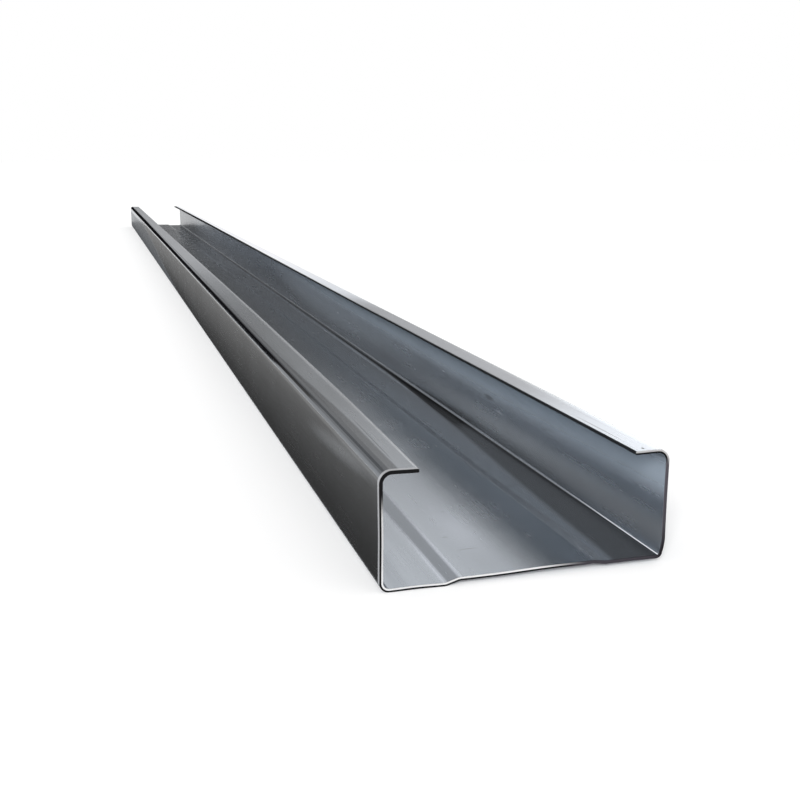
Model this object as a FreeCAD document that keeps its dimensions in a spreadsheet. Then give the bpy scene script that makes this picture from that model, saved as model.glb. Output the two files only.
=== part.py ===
import FreeCAD, Part

import math
import os

import Sketcher
from FreeCAD import Vector

# A cold rolled C purlin: one strip of zinc coated steel, bent along its length into a web,
# two flanges and two lips. It lies on the back of its web with its mouth upwards.
# X runs across the web, Y along the purlin, Z up. The origin is under the middle of the web.

# Driving dimensions in millimetres, outside sizes unless the name says otherwise
SIZES = {
    "purlin_length": 4000,
    "web_width": 200,
    "flange_height": 80,
    "lip_length": 25,
    "sheet_thickness": 2.5,
    "web_bend_inside_radius": 4,
    "lip_bend_inside_radius": 6,
    "side_strip_width": 44.5,
    "step_run": 9,
    "step_rise": 2.8,
    "step_bend_inside_radius": 8,
}

# The strip's straight runs, in order from the middle of the web to the lip's edge
RUNS = ("web_middle", "step", "side_strip", "flange", "lip")

# The bends between those runs, each with the size that gives the radius on its tight side
BENDS = {
    "step_top": "step_bend_inside_radius",
    "step_foot": "step_bend_inside_radius",
    "web_corner": "web_bend_inside_radius",
    "lip_corner": "lip_bend_inside_radius",
}

# How a sketch numbers the points of an edge, and its own axes and origin
START, END, CENTRE = range(1, 4)
AXIS_LINE_X, AXIS_LINE_Y = -1, -2
ORIGIN = (AXIS_LINE_X, START)


def size_sheet(doc):
    """The spreadsheet that holds the driving dimensions, one alias for each."""
    sheet = doc.addObject("Spreadsheet::Sheet", "sizes")
    for row, (alias, value) in enumerate(SIZES.items(), start=1):
        sheet.set(f"A{row}", alias)
        sheet.set(f"B{row}", str(value))
        sheet.setAlias(f"B{row}", alias)
    doc.recompute()
    return sheet


def origin_plane(body, role):
    """The body's own origin plane of that role."""
    return next(f for f in body.Origin.OriginFeatures if f.Role == role)


def unit(vector):
    """The same direction with length one."""
    return Vector(vector).normalize()


def offset_corners(corners, distance):
    """The corners of a line that runs beside another at a distance, on its left hand side."""
    sides = []
    for start, end in zip(corners, corners[1:]):
        along = unit(end - start)
        sides.append(Vector(-along.y, along.x, 0))
    moved = [corners[0] + sides[0] * distance]
    for corner, before, after in zip(corners[1:], sides, sides[1:]):
        mitre = before + after
        moved.append(corner + mitre * (distance / (1 + before * after)))
    moved.append(corners[-1] + sides[-1] * distance)
    return moved


def bend_arc(before, corner, after, radius):
    """The arc of that radius that rounds a corner, with the points where it starts and ends."""
    back = unit(before - corner)
    ahead = unit(after - corner)
    half_angle = back.getAngle(ahead) / 2
    reach = radius / math.tan(half_angle)
    centre = corner + unit(back + ahead) * (radius / math.sin(half_angle))
    start = corner + back * reach
    end = corner + ahead * reach
    middle = centre + unit(corner - centre) * radius
    return Part.Arc(start, middle, end), start, end


class SheetFace:
    """One face of the bent strip in the section sketch: straight runs joined by tangent bends."""

    def __init__(self, sketch, corners, radii):
        self.sketch = sketch
        self.runs = {}
        self.bends = {}
        here = corners[0]
        for number, bend_name in enumerate(BENDS):
            arc, bend_start, bend_end = bend_arc(*corners[number : number + 3], radii[bend_name])
            self.draw_run(RUNS[number], here, bend_start)
            self.bends[bend_name] = sketch.addGeometry(arc)
            here = bend_end
        self.draw_run(RUNS[-1], here, corners[-1])
        for bend_name, run_before, run_after in zip(BENDS, RUNS, RUNS[1:]):
            self.join(self.runs[run_before], self.bends[bend_name], self.runs[run_after])

    def draw_run(self, name, start, end):
        """Draws one straight run."""
        self.runs[name] = self.sketch.addGeometry(Part.LineSegment(start, end))

    def join(self, run_before, bend, run_after):
        """Makes a bend tangent to the runs on both sides, at whichever of its ends meets each."""
        meeting = self.sketch.getPoint(run_before, END)
        start_gap = self.sketch.getPoint(bend, START).distanceToPoint(meeting)
        end_gap = self.sketch.getPoint(bend, END).distanceToPoint(meeting)
        first, last = (START, END) if start_gap < end_gap else (END, START)
        self.sketch.addConstraint(
            [
                Sketcher.Constraint("Tangent", run_before, END, bend, first),
                Sketcher.Constraint("Tangent", bend, last, run_after, START),
            ]
        )

    def tie_radius(self, bend_name, formula):
        """Ties the radius of one bend to a formula of the size sheet."""
        bend = self.bends[bend_name]
        value = self.sketch.Geometry[bend].Radius
        tie(self.sketch, Sketcher.Constraint("Radius", bend, value), formula)


def tie(sketch, constraint, formula):
    """Adds a dimension to the sketch and ties it to a formula of the size sheet."""
    number = sketch.addConstraint(constraint)
    sketch.setExpression(f"Constraints[{number}]", formula)


def section_corners(sheet):
    """The sharp corners of the outside face, from the middle of the web to the lip's edge."""
    half_web = sheet.web_width / 2
    step_foot = half_web - sheet.side_strip_width
    step_top = step_foot - sheet.step_run
    return [
        Vector(0, sheet.step_rise),
        Vector(step_top, sheet.step_rise),
        Vector(step_foot, 0),
        Vector(half_web, 0),
        Vector(half_web, sheet.flange_height),
        Vector(half_web - sheet.lip_length, sheet.flange_height),
    ]


def half_section(body, sheet):
    """The right half of the cross section: a closed outline one sheet thickness wide."""
    sketch = body.newObject("Sketcher::SketchObject", "half_section")
    sketch.AttachmentSupport = [(origin_plane(body, "XZ_Plane"), "")]
    sketch.MapMode = "FlatFace"

    corners = section_corners(sheet)
    tight = {name: getattr(sheet, size) for name, size in BENDS.items()}
    wide = {name: radius + sheet.sheet_thickness for name, radius in tight.items()}
    outside = SheetFace(sketch, corners, {**wide, "step_top": tight["step_top"]})
    inside = SheetFace(
        sketch,
        offset_corners(corners, sheet.sheet_thickness),
        {**tight, "step_top": wide["step_top"]},
    )
    close_outline(sketch, outside, inside)
    size_outside(sketch, outside, corners)
    size_bends(sketch, outside, inside)
    return sketch


def close_outline(sketch, outside, inside):
    """The cut across the web's middle, on the centre line, and the strip's slit edge."""
    for run_name, place in (("web_middle", START), ("lip", END)):
        outer, inner = outside.runs[run_name], inside.runs[run_name]
        edge = sketch.addGeometry(
            Part.LineSegment(sketch.getPoint(outer, place), sketch.getPoint(inner, place))
        )
        sketch.addConstraint(
            [
                Sketcher.Constraint("Coincident", edge, START, outer, place),
                Sketcher.Constraint("Coincident", edge, END, inner, place),
                Sketcher.Constraint("Vertical", edge),
            ]
        )


def size_outside(sketch, outside, corners):
    """Places the outside face's runs by the sizes that a section table gives."""
    middle, slope, strip, flange, lip = (outside.runs[name] for name in RUNS)
    for run in (middle, strip, lip):
        sketch.addConstraint(Sketcher.Constraint("Horizontal", run))
    sketch.addConstraint(Sketcher.Constraint("Vertical", flange))
    sketch.addConstraint(Sketcher.Constraint("PointOnObject", middle, START, AXIS_LINE_Y))
    sketch.addConstraint(Sketcher.Constraint("PointOnObject", strip, START, AXIS_LINE_X))

    _, step_top, step_foot, web_corner, lip_corner, lip_edge = corners
    top = sketch.addGeometry(Part.Point(step_top), True)
    foot = sketch.addGeometry(Part.Point(step_foot), True)
    for point, run in ((top, middle), (top, slope), (foot, slope), (foot, strip)):
        sketch.addConstraint(Sketcher.Constraint("PointOnObject", point, START, run))

    def across(first, last, value, formula):
        tie(sketch, Sketcher.Constraint("DistanceX", *first, *last, value), formula)

    def upright(first, last, value, formula):
        tie(sketch, Sketcher.Constraint("DistanceY", *first, *last, value), formula)

    across(ORIGIN, (flange, START), web_corner.x, "sizes.web_width / 2")
    across((foot, START), (flange, START), web_corner.x - step_foot.x, "sizes.side_strip_width")
    across((top, START), (foot, START), step_foot.x - step_top.x, "sizes.step_run")
    across((lip, END), (flange, END), lip_corner.x - lip_edge.x, "sizes.lip_length")
    upright(ORIGIN, (middle, START), step_top.y, "sizes.step_rise")
    upright(ORIGIN, (lip, END), lip_corner.y, "sizes.flange_height")


def size_bends(sketch, outside, inside):
    """Each bend turns about one centre, its wide side one sheet thickness further out."""
    for name, size in BENDS.items():
        outer, inner = outside.bends[name], inside.bends[name]
        sketch.addConstraint(Sketcher.Constraint("Coincident", outer, CENTRE, inner, CENTRE))
        bends_outwards = name == "step_top"
        tight, wide = (outside, inside) if bends_outwards else (inside, outside)
        tight.tie_radius(name, f"sizes.{size}")
        wide.tie_radius(name, f"sizes.{size} + sizes.sheet_thickness")
    for name in ("web_middle", "lip"):
        sketch.addConstraint(Sketcher.Constraint("Horizontal", inside.runs[name]))


def c_purlin(doc, sheet):
    """The whole purlin: half of it drawn out to its length, then mirrored at the web's middle."""
    body = doc.addObject("PartDesign::Body", "purlin_body")
    body.Label = "c_purlin"

    section = half_section(body, sheet)
    half = body.newObject("PartDesign::Pad", "half_purlin")
    half.Profile = section
    half.Midplane = True
    half.setExpression("Length", "sizes.purlin_length")
    doc.recompute()

    whole = body.newObject("PartDesign::Mirrored", "whole_purlin")
    whole.Originals = [half]
    whole.MirrorPlane = (origin_plane(body, "YZ_Plane"), [""])
    whole.Refine = True
    body.Tip = whole
    doc.recompute()
    return body


def check_document(doc, bodies):
    """Stops if any object failed, a sketch is loose, or a piece isn't one sound solid."""
    for item in doc.Objects:
        if {"Invalid", "Error"} & set(item.State):
            raise RuntimeError(f"{item.Name} failed: {item.State}")
        if item.isDerivedFrom("Sketcher::SketchObject") and not item.FullyConstrained:
            raise RuntimeError(f"{item.Name} isn't fully constrained")
    for body in bodies:
        shape = body.Shape
        if shape.isNull() or not shape.isValid() or len(shape.Solids) != 1:
            raise RuntimeError(f"{body.Label} isn't one sound solid")


def write_parts(bodies):
    """Writes each piece to its own STEP file, named by its label, and prints its size."""
    os.makedirs("parts", exist_ok=True)
    for body in bodies:
        body.Shape.exportStep(os.path.join("parts", body.Label + ".step"))
        box = body.Shape.BoundBox
        print(
            f"{body.Label}: {box.XLength:.2f} x {box.YLength:.2f} x {box.ZLength:.2f} mm,"
            f" {body.Shape.Volume / 1000:.1f} cm3, {len(body.Shape.Faces)} faces"
        )


def main():
    doc = FreeCAD.newDocument("c_purlin")
    sheet = size_sheet(doc)
    bodies = [c_purlin(doc, sheet)]
    check_document(doc, bodies)
    write_parts(bodies)


main()
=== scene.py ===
# %% [markdown]
# A C purlin is one strip of zinc coated steel. A row of rollers bends it, a little at a time,
# into a web, two flanges and two lips, and a shear then cuts it to length.
# The construction model gives its place and its size. Here it gets what the rollers,
# the zinc bath and the shear leave on it: true round bends, flats that aren't quite flat,
# a satin skin and a sheared end.

import math
from collections import namedtuple

import bpy
import numpy as np
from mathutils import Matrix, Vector


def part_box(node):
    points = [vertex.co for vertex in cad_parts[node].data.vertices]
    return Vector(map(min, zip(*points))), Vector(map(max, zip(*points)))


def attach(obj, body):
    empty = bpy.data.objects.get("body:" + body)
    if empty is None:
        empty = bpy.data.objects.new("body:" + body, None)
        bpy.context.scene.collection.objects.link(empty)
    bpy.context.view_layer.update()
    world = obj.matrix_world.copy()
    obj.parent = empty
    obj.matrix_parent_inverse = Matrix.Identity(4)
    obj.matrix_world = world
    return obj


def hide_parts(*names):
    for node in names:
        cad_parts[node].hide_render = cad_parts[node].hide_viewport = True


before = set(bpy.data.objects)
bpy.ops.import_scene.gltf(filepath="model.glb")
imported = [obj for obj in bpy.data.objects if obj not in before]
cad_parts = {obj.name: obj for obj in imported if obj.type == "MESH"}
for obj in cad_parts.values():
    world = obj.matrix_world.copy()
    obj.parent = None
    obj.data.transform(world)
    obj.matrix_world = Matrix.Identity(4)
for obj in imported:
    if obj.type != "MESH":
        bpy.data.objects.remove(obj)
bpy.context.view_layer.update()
low, high = (np.array(corner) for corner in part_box("c_purlin"))
MM = 0.001
print("construction model", np.round((high - low) / MM, 2), "mm")

# %% [markdown]
# The strip's section is a chain of straight runs and round bends. Only the web's width, the
# flange's height and the length can be read from the model's box, so the rest of the chain is
# written here: the sheet's thickness, the lip, the two steps in the web and the bends.
# Half of the section is enough, because the other half mirrors it.

# %% Sizes of the strip
WEB_WIDTH = high[0] - low[0]
FLANGE_HEIGHT = high[2] - low[2]
LENGTH = high[1] - low[1]
SHEET = 2.5 * MM
LIP = 25 * MM
SIDE_STRIP = 44.5 * MM
STEP_RUN = 9 * MM
STEP_RISE = 2.8 * MM
STEP_RADIUS = 8 * MM
WEB_RADIUS = 4 * MM
LIP_RADIUS = 6 * MM
print(f"a {SHEET / MM} mm sheet, {WEB_WIDTH / MM:.0f} mm web, {FLANGE_HEIGHT / MM:.0f} mm flanges")

# %% [markdown]
# A bend is where the strip's heading turns. Listing each stretch with its length and its turn
# gives the whole middle line: the heading is the sum of the turns, and the place is the sum of
# the short chords that follow it. A chord that turns by a small angle is as long as its arc
# times the sine of half the angle over half the angle, so the points lie on true arcs.

# %% The chain of runs and bends, from the middle of the web to the lip's edge
SLOPE = math.atan2(STEP_RISE, STEP_RUN)
RIGHT_ANGLE = math.pi / 2


def reach(outside_radius, turn):
    """How far a bend reaches from its sharp corner: its radius times the tangent of half the turn."""
    return outside_radius * math.tan(turn / 2)


top_reach = reach(STEP_RADIUS, SLOPE)
foot_reach = reach(STEP_RADIUS + SHEET, SLOPE)
web_reach = reach(WEB_RADIUS + SHEET, RIGHT_ANGLE)
lip_reach = reach(LIP_RADIUS + SHEET, RIGHT_ANGLE)
step_radius, web_radius, lip_radius = (r + SHEET / 2 for r in (STEP_RADIUS, WEB_RADIUS, LIP_RADIUS))

# How freely a stretch bows, as two places on a sine wave in quarter turns: stiff where it is 0
STIFF, BOTH_ENDS_HELD, END_HELD, START_HELD = (0, 0), (0, 2), (1, 2), (0, 1)

# Each stretch: its length, the angle that it turns by (plus is towards the mouth), its pieces
# and how freely it bows
STRETCHES = [
    (WEB_WIDTH / 2 - SIDE_STRIP - STEP_RUN - top_reach, 0, 9, END_HELD),
    (step_radius * SLOPE, -SLOPE, 6, STIFF),
    (math.hypot(STEP_RUN, STEP_RISE) - top_reach - foot_reach, 0, 4, STIFF),
    (step_radius * SLOPE, SLOPE, 6, STIFF),
    (SIDE_STRIP - foot_reach - web_reach, 0, 8, BOTH_ENDS_HELD),
    (web_radius * RIGHT_ANGLE, RIGHT_ANGLE, 14, STIFF),
    (FLANGE_HEIGHT - web_reach - lip_reach, 0, 13, BOTH_ENDS_HELD),
    (lip_radius * RIGHT_ANGLE, RIGHT_ANGLE, 14, STIFF),
    (LIP - lip_reach, 0, 5, START_HELD),
]


def middle_line(stretches):
    """The strip's middle line: distance along it, place across and up, and heading, as arrays."""
    along = np.concatenate([[0]] + [np.full(n, length / n) for length, _, n, _ in stretches])
    turning = np.concatenate([[0]] + [np.full(n, turn / n) for _, turn, n, _ in stretches])
    heading = np.cumsum(turning)
    mean_heading = heading - turning / 2
    chord = along * np.sinc(turning / 2 / math.pi)
    across = np.cumsum(chord * np.cos(mean_heading))
    up = STEP_RISE + SHEET / 2 + np.cumsum(chord * np.sin(mean_heading))
    return np.cumsum(along), across, up, heading


half = middle_line(STRETCHES)
print(f"half strip {half[0][-1] / MM:.1f} mm wide, its lip ends {half[1][-1] / MM:.2f} mm from the"
      f" middle at a height of {half[2][-1] / MM:.2f} mm")

# %% [markdown]
# The mirrored half turns the half chain into the whole one. Points on the sheet's two faces lie
# half a thickness to each side of the middle line, square to its heading.

# %% The whole section
def mirrored(values, sign):
    """The left half, in reverse and with that sign, followed by the right half."""
    return np.concatenate([sign * values[:0:-1], values])


STRIP, ACROSS, UP, HEADING = (mirrored(v, s) for v, s in zip(half, (-1, -1, 1, -1)))
NORMAL = np.stack([-np.sin(HEADING), np.cos(HEADING)])
STRETCH_ENDS = np.cumsum([length for length, *_ in STRETCHES]).tolist()
STEP_START, *_, STEP_END, SIDE_STRIP_END, CORNER_END, FLANGE_END, LIP_START, LIP_END = STRETCH_ENDS
print(f"{len(STRIP)} points across the strip, flange from {CORNER_END / MM:.1f} to {FLANGE_END / MM:.1f} mm")

# %% [markdown]
# Rolled flats are never quite flat. They bow a little between the stiff bends, and long shallow
# waves run along them. Both bend the reflections of straight edges, which is how the eye tells
# sheet metal from a drawing of it. The waves are a sum of a few sines along the strip and
# across it, pushed into the section only, so the purlin stays inside its true size.

# %% Bows and waves in the flats
WAVE_DEPTH = 0.5 * MM

# Each wave: its length in metres, how much it leans across the strip, where it starts
WAVES = [(1.10, 9, 0.3), (0.62, -14, 2.1), (0.39, 21, 4.4), (0.27, -6, 1.2), (0.81, 30, 5.5)]


def freedom():
    """How freely each point bows: the square of a sine that is 0 wherever a bend holds the sheet."""
    share = [np.ones(1)]
    for _, _, pieces, (start, end) in STRETCHES:
        quarter = start + (end - start) * np.arange(1, pieces + 1) / pieces
        share.append(np.sin(quarter * RIGHT_ANGLE) ** 2)
    return mirrored(np.concatenate(share), 1)


def waves(across, along):
    """Height of the waves, 0 to 1: a mean of sines that run along and slightly across."""
    total = sum(np.sin(along / length * 2 * math.pi + across * lean + start)
                for length, lean, start in WAVES)
    return 0.5 + 0.5 * total / len(WAVES)


print(f"flats bow and wave by up to {WAVE_DEPTH / MM} mm")

# %% [markdown]
# The shear also sets free what the rollers had pressed into the strip. At the near end the web's
# right half has sprung up, and the foot of the right step most, so the step is shallower there.

# %% The sprung foot of the right step
SPRING_HEIGHT = 1.4 * MM
FOOT_SHARE = 1.3
SPRING_LENGTH = 0.16


def smooth_step(value, start, end):
    """From 0 at the start to 1 at the end, level at both."""
    share = np.clip((value - start) / (end - start), 0, 1)
    return share ** 2 * (3 - 2 * share)


def spring(across, from_end):
    """How far the strip springs up: a hump across it times a bell curve from the near end."""
    hump = smooth_step(across, -25 * MM, 30 * MM)
    hump += FOOT_SHARE * smooth_step(across, STEP_START - 3 * MM, STEP_END)
    hump *= 1 - smooth_step(across, SIDE_STRIP_END, CORNER_END + 10 * MM)
    return SPRING_HEIGHT * hump * np.exp(-(from_end / SPRING_LENGTH) ** 2)


print(f"the step's foot springs up by {SPRING_HEIGHT * (1 + FOOT_SHARE) / MM:.1f} mm")

# %% [markdown]
# The coil wandered a little in the rolls, and all that it wandered by ended up in the left lip.
# So that lip is a few millimetres wider than the right one, except close to the near end.

# %% The wandering edge of the left lip
WANDER_NEAR, WANDER_FAR = 1.0 * MM, 6.5 * MM
WANDER_LENGTH = 0.22


def wander(across, from_end):
    """How much wider the left lip is: nothing at its bend and the whole of it at its edge."""
    share = np.clip((-across - LIP_START) / (LIP_END - LIP_START), 0, 1)
    return share * (WANDER_FAR - (WANDER_FAR - WANDER_NEAR) * np.exp(-from_end / WANDER_LENGTH))


print(f"the left lip is {WANDER_NEAR / MM} mm wider at the near end, {WANDER_FAR / MM} mm further on")

# %% [markdown]
# The surface is a closed loop round the section, carried along the length on a grid. Near each
# end the rows close up, and the last few draw the faces in by a fifth of a millimetre, which
# rounds the cut's two edges. A strip of faces between the two sides of the sheet closes the end.

# %% Rows along the purlin
EDGE_ROUND = 0.22 * MM
ROUND_STEPS = 3
ROWS = 190
CLOSING_UP = 1.45


def rows():
    """Place of each row along the length, and how far the faces are drawn in there.

    The places follow a sine, so the rows lie closer near the ends. The last ones follow a
    quarter circle: its sine along the length, one less its cosine into the sheet.
    """
    spread = np.sin(np.linspace(-1, 1, ROWS) * CLOSING_UP) / math.sin(CLOSING_UP)
    straight = (LENGTH / 2 - 2 * EDGE_ROUND) * spread
    turn = np.linspace(0, RIGHT_ANGLE, ROUND_STEPS + 1)
    end_place = LENGTH / 2 - EDGE_ROUND * (1 - np.sin(turn))
    drawn_in = EDGE_ROUND * (1 - np.cos(turn))
    place = np.concatenate([-end_place[::-1], straight, end_place])
    inset = np.concatenate([drawn_in[::-1], np.zeros(ROWS), drawn_in])
    return place, inset


ROW_PLACE, ROW_INSET = rows()
print(len(ROW_PLACE), "rows along the purlin")

# %% [markdown]
# The strip was slit from a wider coil, and its two long edges show in the mouth of the purlin.
# A slitting knife leaves them slightly bulged, so each is half an ellipse between the faces.

# %% The loop round the section
SLIT_STEPS = 4
SLIT_BULGE = 0.35 * MM


def section_loop(inset):
    """The closed loop round the section: outer face, slit edge, inner face, slit edge.

    A point of a face is the middle line plus or minus its normal times half the thickness. A
    point of a slit edge is the edge's middle plus the normal times the sine of its swing and
    the strip's heading times the cosine.
    """
    half_sheet = SHEET / 2 - inset
    swing = np.linspace(-RIGHT_ANGLE, RIGHT_ANGLE, SLIT_STEPS + 2)[1:-1]
    heading = np.array([math.cos(HEADING[-1]), math.sin(HEADING[-1])])
    outer = np.stack([ACROSS, UP]) - NORMAL * half_sheet
    inner = np.stack([ACROSS, UP]) + NORMAL * half_sheet
    edge_middle = np.array([ACROSS[-1], UP[-1]]) - heading * SLIT_BULGE
    right_edge = (edge_middle[:, None] + NORMAL[:, -1:] * half_sheet * np.sin(swing)
                  + heading[:, None] * SLIT_BULGE * np.cos(swing))
    left_edge = right_edge[:, ::-1] * np.array([[-1], [1]])
    drawn_back = heading[0] * SLIT_BULGE * np.array([-1, 1])
    outer[0, [0, -1]] -= drawn_back
    inner[0, [0, -1]] -= drawn_back
    return np.concatenate([outer, right_edge, inner[:, ::-1], left_edge], axis=1)


def round_the_loop(values):
    """Values of the section's points, given to the loop: each slit edge has those of its lip."""
    right, left = values[..., -1:], values[..., :1]
    edge = np.ones(SLIT_STEPS)
    return np.concatenate([values, right * edge, values[..., ::-1], left * edge], axis=-1)


COUNT = len(STRIP)
LOOP = 2 * COUNT + 2 * SLIT_STEPS
RIGHT_EDGE, INNER_FACE, LEFT_EDGE = COUNT, COUNT + SLIT_STEPS, 2 * COUNT + SLIT_STEPS
loop_strip, loop_normal, loop_freedom = (round_the_loop(v) for v in (STRIP, NORMAL, freedom()))
print(LOOP, "points round the section")

# %% [markdown]
# Now the loop is carried along the rows. Every point is worked out in one go, as an array of
# rows by places round the loop, and the faces are quads between neighbours on that grid.

# %% The surface of the purlin
def purlin_points():
    """Vertices of all rows: the loop at each row's inset, pushed in by the waves and the spring.

    The push is along the strip's own normal towards the inside of the section, so both faces
    move together and the sheet keeps its thickness.
    """
    loops = np.stack([section_loop(inset) for inset in ROW_INSET])
    push = WAVE_DEPTH * loop_freedom * waves(loop_strip[None, :], ROW_PLACE[:, None])
    from_end = ROW_PLACE[:, None] + LENGTH / 2
    push += spring(loop_strip[None, :], from_end)
    x = loops[:, 0] + push * loop_normal[0] + wander(loop_strip[None, :], from_end)
    z = loops[:, 1] + push * loop_normal[1]
    y = np.broadcast_to(ROW_PLACE[:, None], x.shape)
    middle = (low + high) / 2
    return np.stack([x + middle[0], y + middle[1], z + low[2]], axis=-1)


def side_faces(row_count):
    """Quads between neighbouring rows, wound so that they face out of the sheet."""
    row = np.arange(row_count - 1)[:, None] * LOOP
    here = np.arange(LOOP)[None, :]
    after = (here + 1) % LOOP
    quads = np.stack([row + here, row + after, row + LOOP + after, row + LOOP + here], axis=-1)
    return quads.reshape(-1, 4)


def end_faces(first_vertex, flip):
    """Quads across the cut end, from each stretch of the outer face to the inner one facing it."""
    outer = np.arange(COUNT - 1)
    inner = LEFT_EDGE - 1 - outer
    quads = first_vertex + np.stack([outer, inner, inner - 1, outer + 1], axis=-1)
    return quads[:, ::-1] if flip else quads


def edge_cap(first_vertex, start, flip):
    """The small face that closes the end of a slit edge, from its first point round to its last."""
    ring = first_vertex + (start + np.arange(SLIT_STEPS + 2)) % LOOP
    return ring[::-1] if flip else ring


points = purlin_points()
row_count = len(ROW_PLACE)
last_row = (row_count - 1) * LOOP
sides = side_faces(row_count)
ends = np.concatenate([end_faces(0, True), end_faces(last_row, False)])
caps = [edge_cap(base, start, flip) for base, flip in ((0, False), (last_row, True))
        for start in (RIGHT_EDGE - 1, LEFT_EDGE - 1)]
print(len(sides), "faces on the sheet,", len(ends), "on its cut ends")

# %% [markdown]
# One mesh holds the strip, so that the light finds no seam in it. Its materials follow the strip
# by a UV map in metres: across the strip, and along it. The inner face's numbers start a metre
# further across, so that its marks are its own. On a cut end the second number is the depth in
# the sheet instead, from 0 at the outer face to 1 at the inner one.

# %% The mesh
INNER_START = 1.0
ZINC_FACE, SHEARED_FACE, SLIT_FACE = range(3)
through = np.linspace(0, 1, SLIT_STEPS + 2)
LOOP_DEPTH = np.concatenate([np.zeros(COUNT), through[1:-1], np.ones(COUNT), through[-2:0:-1]])


def is_rounded(face):
    """Whether a face belongs to the rounded edge of a cut end."""
    row = face // LOOP
    return (face < len(sides)) & ((row < ROUND_STEPS) | (row >= row_count - 1 - ROUND_STEPS))


def face_materials(is_slit):
    """The material of each face: sheared on the ends and their rounding, slit, or zinc."""
    on_sides = np.where(is_slit, SLIT_FACE, ZINC_FACE)
    on_sides[is_rounded(np.arange(len(sides)))] = SHEARED_FACE
    return np.concatenate([on_sides, np.full(len(ends) + len(caps), SHEARED_FACE)])


def strip_map(corner_vertex, corner_face, is_slit):
    """The UV map: across and along the strip, or across it and into it on the ends."""
    place = corner_vertex % LOOP
    inside = (place >= INNER_FACE) & (place < LEFT_EDGE)
    on_cut = (corner_face >= len(sides)) | is_rounded(corner_face)
    on_slit = is_slit[np.minimum(corner_face, len(sides) - 1)]
    across = loop_strip[place] + np.where(inside & ~on_cut & ~on_slit, INNER_START, 0)
    along = np.where(on_cut, LOOP_DEPTH[place], ROW_PLACE[corner_vertex // LOOP])
    return np.stack([across, along], -1)


def build_mesh(name):
    """A mesh from the arrays above, with material numbers and the strip's own UV map."""
    mesh = bpy.data.meshes.new(name)
    faces = [*sides.tolist(), *ends.tolist(), *[cap.tolist() for cap in caps]]
    mesh.from_pydata(points.reshape(-1, 3).tolist(), [], faces)
    around = np.arange(len(sides)) % LOOP
    is_slit = ((around >= RIGHT_EDGE - 1) & (around < INNER_FACE)) | (around >= LEFT_EDGE - 1)
    mesh.polygons.foreach_set("material_index", face_materials(is_slit).astype(np.int32))
    mesh.polygons.foreach_set("use_smooth", np.ones(len(faces), bool))
    corner_vertex = np.empty(len(mesh.loops), np.int32)
    mesh.loops.foreach_get("vertex_index", corner_vertex)
    corner_face = np.repeat(np.arange(len(faces)), [len(face) for face in faces])
    layer = mesh.uv_layers.new(name="strip")
    layer.data.foreach_set("uv", strip_map(corner_vertex, corner_face, is_slit).ravel())
    mesh.validate()
    mesh.set_sharp_from_angle(angle=math.radians(50))
    return mesh


def add_object(name, data):
    """An object in the scene, made of a mesh, a light or a camera."""
    made = bpy.data.objects.new(name, data)
    bpy.context.scene.collection.objects.link(made)
    return made


purlin = add_object("purlin_sheet", build_mesh("purlin_sheet"))
print("mesh box", np.round(points.reshape(-1, 3).min(0) / MM, 2), "to",
      np.round(points.reshape(-1, 3).max(0) / MM, 2))

# %% [markdown]
# Materials are built from nodes. Short helpers keep that readable. A feed is either another
# node's output, which is linked, or a plain value, which is set. A sum's node goes into the tree
# of the outputs that feed it.

# %% Node helpers
def tree_of(*sources):
    """The tree that holds the first source that is a node's output."""
    return next(source.id_data for source in sources if isinstance(source, bpy.types.NodeSocket))


def feed(source, socket):
    """Links an output to a socket, or sets a plain value on it."""
    if isinstance(source, bpy.types.NodeSocket):
        socket.id_data.links.new(source, socket)
    else:
        socket.default_value = source


def feed_all(node, feeds):
    """Feeds a node. Feeds map an input's name or number to its source."""
    for key, source in feeds.items():
        feed(source, node.inputs[key])
    return node


def add(tree, kind, feeds=None, **settings):
    """A new shader node with its settings and feeds."""
    made = tree.nodes.new("ShaderNode" + kind)
    for name, value in settings.items():
        setattr(made, name, value)
    return feed_all(made, feeds or {})


def calc(operation, first, second=0.0):
    """The result of one sum."""
    return add(tree_of(first, second), "Math", {0: first, 1: second}, operation=operation).outputs[0]


def vector_calc(operation, first, second=(0, 0, 0)):
    """The result of one sum on vectors, a number if the sum is a length."""
    made = add(tree_of(first, second), "VectorMath", {0: first, 1: second}, operation=operation)
    return made.outputs["Value" if operation == "LENGTH" else "Vector"]


print("node helpers: tree_of, feed, feed_all, add, calc, vector_calc")

# %% [markdown]
# Nothing on the metal has a hard edge. Its tones are soft edges between two levels, mixes by a
# share, and noise.

# %% Edges, mixes and noise
def soft_edge(value, start, end, low_value=0.0, high_value=1.0):
    """A value that goes smoothly from one level to another while its source goes from start to end."""
    feeds = {"Value": value, "From Min": start, "From Max": end, "To Min": low_value, "To Max": high_value}
    return add(tree_of(value), "MapRange", feeds, interpolation_type="SMOOTHSTEP").outputs["Result"]


def mix_colours(share, first, second):
    """One colour laid over another by a share."""
    return add(tree_of(share), "Mix", {"Factor": share, 6: first, 7: second}, data_type="RGBA").outputs[2]


def mix_values(share, first, second):
    """One value laid over another by a share."""
    return add(tree_of(share), "Mix", {"Factor": share, "A": first, "B": second}).outputs[0]


def noise(vector, scale, detail=2.0, roughness=0.5):
    """A noise from 0 to 1, with about that many features in a unit of its vector."""
    feeds = {"Vector": vector, "Scale": scale, "Detail": detail, "Roughness": roughness}
    return add(tree_of(vector), "TexNoise", feeds).outputs["Fac"]


print("tone helpers: soft_edge, mix_colours, mix_values, noise")

# %% [markdown]
# An effect that more than one finish uses is a node group: it is built once, with named sockets,
# and each material places it with its own values.

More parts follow.
